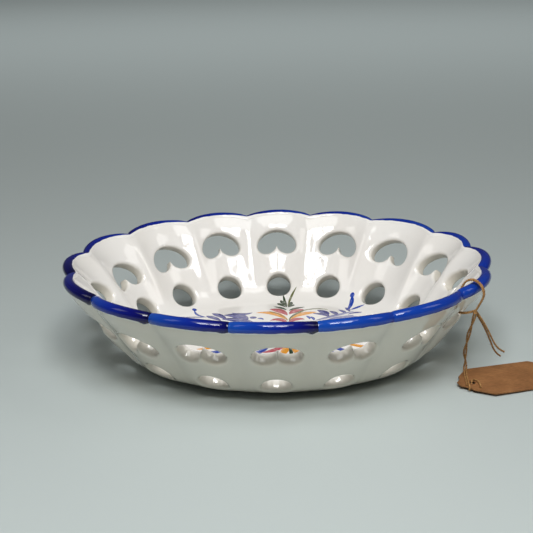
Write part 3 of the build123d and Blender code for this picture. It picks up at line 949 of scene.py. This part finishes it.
def tag_outline():
    """The card's edge: straight sides, and heads that step in to a rounded nose."""
    middle = TAG_WIDTH / 2
    edge, head = [], ((0, 0), TAG_STEP, TAG_NOTCH, TAG_NOSE)
    for end, sign, halves in ((0, -1, (-1, 1)), (TAG_SIDE, 1, (1, -1))):
        near, far = (
            [(end + sign * past, middle + half * (middle - across)) for past, across in head]
            for half in halves
        )
        edge.append(near[0])
        edge += arc_through(near[1], near[2], near[3], 8)
        edge += arc_through(near[3], (end + sign * TAG_HEAD, middle), far[3], 8)
        edge += arc_through(far[3], far[2], far[1], 8)
        edge += [far[1], far[0]]
    return np.array(edge)


def make_tag(material):
    """A card with a punched hole, its faces joined by a plain cut edge."""
    edge = tag_outline()
    spacing, clear = 2.0, 0.8
    hole = (-TAG_HOLE_SETBACK, TAG_WIDTH / 2) + TAG_HOLE_RADIUS * round_points(even_turn(28))
    xs, ys = np.arange(-10, TAG_SIDE + 11, spacing), np.arange(1.5, TAG_WIDTH - 1, spacing)
    grid = np.array([(x, y) for x in xs for y in ys])
    rims = np.concatenate([edge, hole])
    near = norm(grid[:, None] - rims[None], axis=2).min(axis=1)
    grid = grid[(near > clear) & inside_polygon(grid, edge) & ~inside_polygon(grid, hole)]
    flat = np.concatenate([edge, hole, grid])
    outline, ring = list(range(len(edge))), list(range(len(edge), len(edge) + len(hole)))
    top = triangles_around(flat, [ring], outline)
    count = len(flat)
    heights = (0.0, TAG_THICKNESS)
    vertices = [tag_points(np.column_stack([flat, np.full(count, height)])) for height in heights]
    faces = [tuple(face) for face in top] + [tuple(v + count for v in face[::-1]) for face in top]
    for rim in (outline, ring):
        faces += quads_between(rim, [v + count for v in rim])
    tag = add_mesh("kraft_tag", np.concatenate(vertices), faces, material)
    tag.data.polygons.foreach_set("use_smooth", [False] * len(tag.data.polygons))
    turn_faces(tag)
    return tag


# Twine

def twine_tree():
    """Geometry nodes that lay one or two twisted strands with loose fibres along a curve."""
    tree = bpy.data.node_groups.new("Lay Twine", "GeometryNodeTree")
    add_sockets(tree, "INPUT", [
        ("Geometry", "Geometry"), ("Strand Radius", "Float"), ("Ply Pitch", "Float"), ("Doubled", "Bool"),
        ("Pair Spread", "Float"), ("Pair Pitch", "Float"), ("Fibre Density", "Float"),
        ("Fibre Length", "Float"), ("Seed", "Int"), ("Material", "Material"),
    ])
    add_sockets(tree, "OUTPUT", [("Geometry", "Geometry")])
    given = add(tree, "NodeGroupInput").outputs
    stations = {"Curve": given["Geometry"], "Length": 0.00025}
    even = geometry(tree, "ResampleCurve", stations, mode="LENGTH")
    length = add(tree, "GeometryNodeSplineParameter").outputs["Length"]
    normal = geometry(tree, "InputNormal")
    cross = vector_math(tree, "CROSS_PRODUCT", {0: geometry(tree, "InputTangent"), 1: normal})
    around = maths(tree, "MULTIPLY", length, 2 * pi)
    turns = maths(tree, "DIVIDE", around, given["Pair Pitch"])
    twist = maths(tree, "DIVIDE", around, given["Ply Pitch"])
    profile = ply_profile(tree, given["Strand Radius"])
    strands = []
    for start in (0.0, pi):
        angle = maths(tree, "ADD", turns, start)
        away = []
        for axis, wave in ((normal, "COSINE"), (cross, "SINE")):
            share = maths(tree, "MULTIPLY", maths(tree, wave, angle), given["Pair Spread"])
            away.append(vector_math(tree, "SCALE", {0: axis, "Scale": share}))
        offset = vector_math(tree, "ADD", {0: away[0], 1: away[1]})
        moved = geometry(tree, "SetPosition", {"Geometry": even, "Offset": offset})
        tilted = geometry(tree, "SetCurveTilt", {"Curve": moved, "Tilt": twist})
        strands.append(sweep_profile(tree, tilted, profile))
    pair = {"Switch": given["Doubled"], "True": strands[1]}
    second = geometry(tree, "Switch", pair, input_type="GEOMETRY")
    rope = join(tree, strands[0], second)
    whole = join(tree, rope, loose_fibres(tree, rope, given))
    real = geometry(tree, "RealizeInstances", {"Geometry": whole})
    smooth = geometry(tree, "SetShadeSmooth", {"Geometry": real})
    dressed = geometry(tree, "SetMaterial", {"Geometry": smooth, "Material": given["Material"]})
    add(tree, "NodeGroupOutput", {"Geometry": dressed})
    return tree


def geometry(tree, kind, inputs=None, **settings):
    """The first output of a new geometry node."""
    return add(tree, "GeometryNode" + kind, inputs, **settings).outputs[0]


def vector_math(tree, operation, inputs):
    return add(tree, "ShaderNodeVectorMath", inputs, operation=operation).outputs[0]


def join(tree, first, second):
    made = add(tree, "GeometryNodeJoinGeometry", {0: first})
    feed(tree, made, {0: second})
    return made.outputs[0]


def sweep_profile(tree, curve, profile):
    sweep = {"Curve": curve, "Profile Curve": profile, "Fill Caps": True}
    return geometry(tree, "CurveToMesh", sweep)


def ply_profile(tree, radius):
    """Section of a strand: three plies pressed together."""
    circle = geometry(tree, "CurvePrimitiveCircle", {"Resolution": 18, "Radius": 1.0})
    factor = add(tree, "GeometryNodeSplineParameter").outputs["Factor"]
    wave = maths(tree, "COSINE", maths(tree, "MULTIPLY", factor, 3 * 2 * pi))
    size = maths(tree, "MULTIPLY", maths(tree, "MULTIPLY_ADD", wave, 0.17, 0.9), radius)
    scaled = vector_math(tree, "SCALE", {0: geometry(tree, "InputPosition"), "Scale": size})
    return geometry(tree, "SetPosition", {"Geometry": circle, "Position": scaled})


def loose_fibres(tree, rope, given):
    """Short hairs that stand off the strands."""
    spread = {"Mesh": rope, "Density": given["Fibre Density"], "Seed": given["Seed"]}
    scatter = add(tree, "GeometryNodeDistributePointsOnFaces", spread).outputs
    end = add(tree, "ShaderNodeCombineXYZ", {"Z": given["Fibre Length"]}).outputs[0]
    line = geometry(tree, "CurvePrimitiveLine", {"End": end})
    section = geometry(tree, "CurvePrimitiveCircle", {"Resolution": 3, "Radius": 0.000035})
    hair = sweep_profile(tree, line, section)
    leans = {"Min": (-1.2, -1.2, 0.0), "Max": (1.2, 1.2, 6.28), "Seed": given["Seed"]}
    lean = add(tree, "FunctionNodeRandomValue", leans, data_type="FLOAT_VECTOR").outputs[0]
    sizes = {2: 0.3, 3: 1.0, "Seed": given["Seed"]}
    size = add(tree, "FunctionNodeRandomValue", sizes, data_type="FLOAT").outputs[1]
    turn = {"Rotation": scatter["Rotation"], "Rotate By": lean}
    turned = add(tree, "FunctionNodeRotateRotation", turn, rotation_space="LOCAL").outputs[0]
    hairs = {"Points": scatter["Points"], "Instance": hair, "Rotation": turned, "Scale": size}
    return geometry(tree, "InstanceOnPoints", hairs)


def as_mesh(piece):
    """A piece's shape as it stands, with its modifiers."""
    return bpy.data.meshes.new_from_object(piece.evaluated_get(bpy.context.evaluated_depsgraph_get()))


def lay_twine(tree, material, name, route, seed, doubled=False, fibres=0.5):
    """A piece of twine along a route in millimetres, and its centreline in metres; fibres per mm2."""
    curve = bpy.data.curves.new(name + "_route", "CURVE")
    curve.dimensions = "3D"
    spline = curve.splines.new("NURBS")
    spline.points.add(len(route) - 1)
    for point, place in zip(spline.points, route):
        point.co = (*(np.asarray(place) * MM), 1)
    spline.order_u = 3
    spline.use_endpoint_u = True
    spline.resolution_u = 12
    guide = new_object(name + "_route", curve)
    centreline = [tuple(v.co) for v in as_mesh(guide).vertices]
    laying = guide.modifiers.new("Lay Twine", "NODES")
    laying.node_group = tree
    values = {
        "Strand Radius": STRAND_RADIUS * MM,
        "Ply Pitch": PLY_PITCH * MM,
        "Doubled": doubled,
        "Pair Spread": PAIR_STEP / 2 * MM if doubled else 0.0,
        "Pair Pitch": PAIR_PITCH * MM,
        "Fibre Density": fibres / MM**2,
        "Fibre Length": FIBRE_LENGTH * MM,
        "Seed": seed,
        "Material": material,
    }
    for item in tree.interface.items_tree:
        if item.in_out == "INPUT" and item.name in values:
            laying[item.identifier] = values[item.name]
    guide.update_tag()
    laid = as_mesh(guide)
    bpy.data.objects.remove(guide)
    laid.name = name
    return new_object(name, laid), centreline


def line_length(points):
    return float(norm(np.diff(np.array(points), axis=0), axis=1).sum())


def tie_points(places):
    """Points beside the lip where the twine is tied: along the rim, out, and up from the lip's centre."""
    out = outward(TIE_ANGLE, -LOBE_BULGE)
    rim = np.array([-out[1], out[0], 0])
    centre = plan_point(TIE_ANGLE, -LOBE_BULGE, RIM_HEIGHT + LIP_RISE)
    places = np.asarray(places, float)
    return centre + places[:, :1] * rim + places[:, 1:2] * out + places[:, 2:] * UP


def make_twine(material):
    """The loop round the rim, the knot, the leg, the tails and the hitch on the tag."""
    tree = twine_tree()
    knot_centre = tie_points([(TIE_ALONG, *KNOT_PLACE)])[0]
    sideways = np.array([1.0, 0, 0])
    out = outward(TIE_ANGLE, -LOBE_BULGE)

    for n, step in enumerate((0.5, -0.5)):
        route = tie_points([(TIE_ALONG + step * PAIR_STEP, *place) for place in LOOP_ROUTE])
        loop, line = lay_twine(tree, material, f"rim_loop_{n + 1}", route, 11 + n)
        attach(loop, "bowl")
        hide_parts("twine_rim_loop")
        line_length(line)

    route = knot_centre + KNOT_SIZE * np.array(KNOT_ROUTE)
    knot, _ = lay_twine(tree, material, "knot", route, 21, fibres=0.0)
    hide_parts("twine_knot")
    past, across, above = HITCH_ROUTE[0]
    foot = tag_points([(past, across, above + MOVING_GAP)])[0] - sideways * (PAIR_STEP / 2)
    top = foot + UP * LEG_UPRIGHT
    route = [
        knot_centre + (top - knot_centre) * share + sideways * aside + out * off
        for share, aside, off in LEG_ROUTE
    ]
    leg, leg_line = lay_twine(tree, material, "hanging_leg", [*route, top, foot], 31, doubled=True)
    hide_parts("twine_leg")
    hanging = [knot]
    for n, offsets in enumerate(TAIL_ROUTES):
        tail, _ = lay_twine(tree, material, f"tail_{n + 1}", knot_centre + np.array(offsets), 41 + n)
        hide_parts("twine_tails")
        hanging.append(tail)
    for piece in (leg, *hanging):
        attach(piece, "hanging_twine")

    hitch_route = tag_points(HITCH_ROUTE)
    routes = [hitch_route, hitch_route[:FACE_RUNS] - sideways * PAIR_STEP]
    for n, route in enumerate(routes):
        hitch, _ = lay_twine(tree, material, f"tag_hitch_{n + 1}", route, 51 + n, fibres=0.25)
        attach(hitch, "tag")
        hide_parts("tag_hitch")
    line_length(leg_line)


# Stage

def place_floor(material):
    half = 3000
    corners = [(x * half, y * half, 0) for x, y in ((-1, -1), (1, -1), (1, 1), (-1, 1))]
    floor = add_mesh("table", corners, [(0, 1, 2, 3)], material)


def area_light(name, place, target, width, height, energy, colour):
    """A soft rectangular light that looks at a target."""
    light = bpy.data.lights.new(name, "AREA")
    light.shape = "RECTANGLE"
    light.size, light.size_y = width, height
    light.energy = energy
    light.color = colour
    lamp = new_object(name, light)
    lamp.location = place
    lamp.rotation_mode = "QUATERNION"
    lamp.rotation_quaternion = (Vector(target) - Vector(place)).to_track_quat("-Z", "Y")


def place_lights():
    """Four window panes and a warm lamp high in front, lights above and at both sides, and a far one."""
    world = bpy.data.worlds.new("soft_room")
    world.use_nodes = True
    room = world.node_tree.nodes["Background"]
    feed(world.node_tree, room, {"Color": (0.92, 0.93, 0.88, 1), "Strength": 0.10})
    scene = bpy.context.scene
    scene.world = world
    scene.view_settings.view_transform = "Standard"
    target = (0, 0, 0.03)
    for x in (-0.1, 0.1):
        for z in (-0.06, 0.06):
            area_light(
                f"window_{'left' if x < 0 else 'right'}_{'low' if z < 0 else 'high'}",
                (0.02 + x, -0.42 + z * 0.8, 0.62 + z * 0.6), target, 0.17, 0.10, 0.9, (1.0, 0.99, 0.98),
            )
    area_light("overhead", (0.05, -0.35, 1.15), target, 0.8, 0.5, 3.2, (0.98, 1.0, 1.0))
    area_light("side_window", (0.7, -0.1, 0.7), target, 0.3, 0.4, 0.75, (1.0, 0.98, 0.95))
    area_light("left_fill", (-0.7, -0.2, 0.7), target, 0.3, 0.4, 0.6, (1.0, 0.97, 0.93))
    area_light("far_light", (0, 1.2, 1.5), (0, 2.4, 0.6), 3.0, 1.0, 28.0, (0.98, 1.0, 1.0))
    area_light("warm_lamp", (0.13, -0.58, 0.60), target, 0.09, 0.07, 0.25, (1.0, 0.80, 0.45))


place_camera()
tag = make_tag(kraft_card())
make_twine(jute())
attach(tag, "tag")
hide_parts("paper_tag")

surface = handmade_surface()
shell = make_shell(white_glaze(surface))
painting = make_painting(shell, painted_strokes(surface))
lip = make_lip(blue_glaze(surface))
for piece in (shell, painting, lip):
    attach(piece, "bowl")
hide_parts("bowl_body")
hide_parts("rim_lip")

place_floor(pale_table())
place_lights()
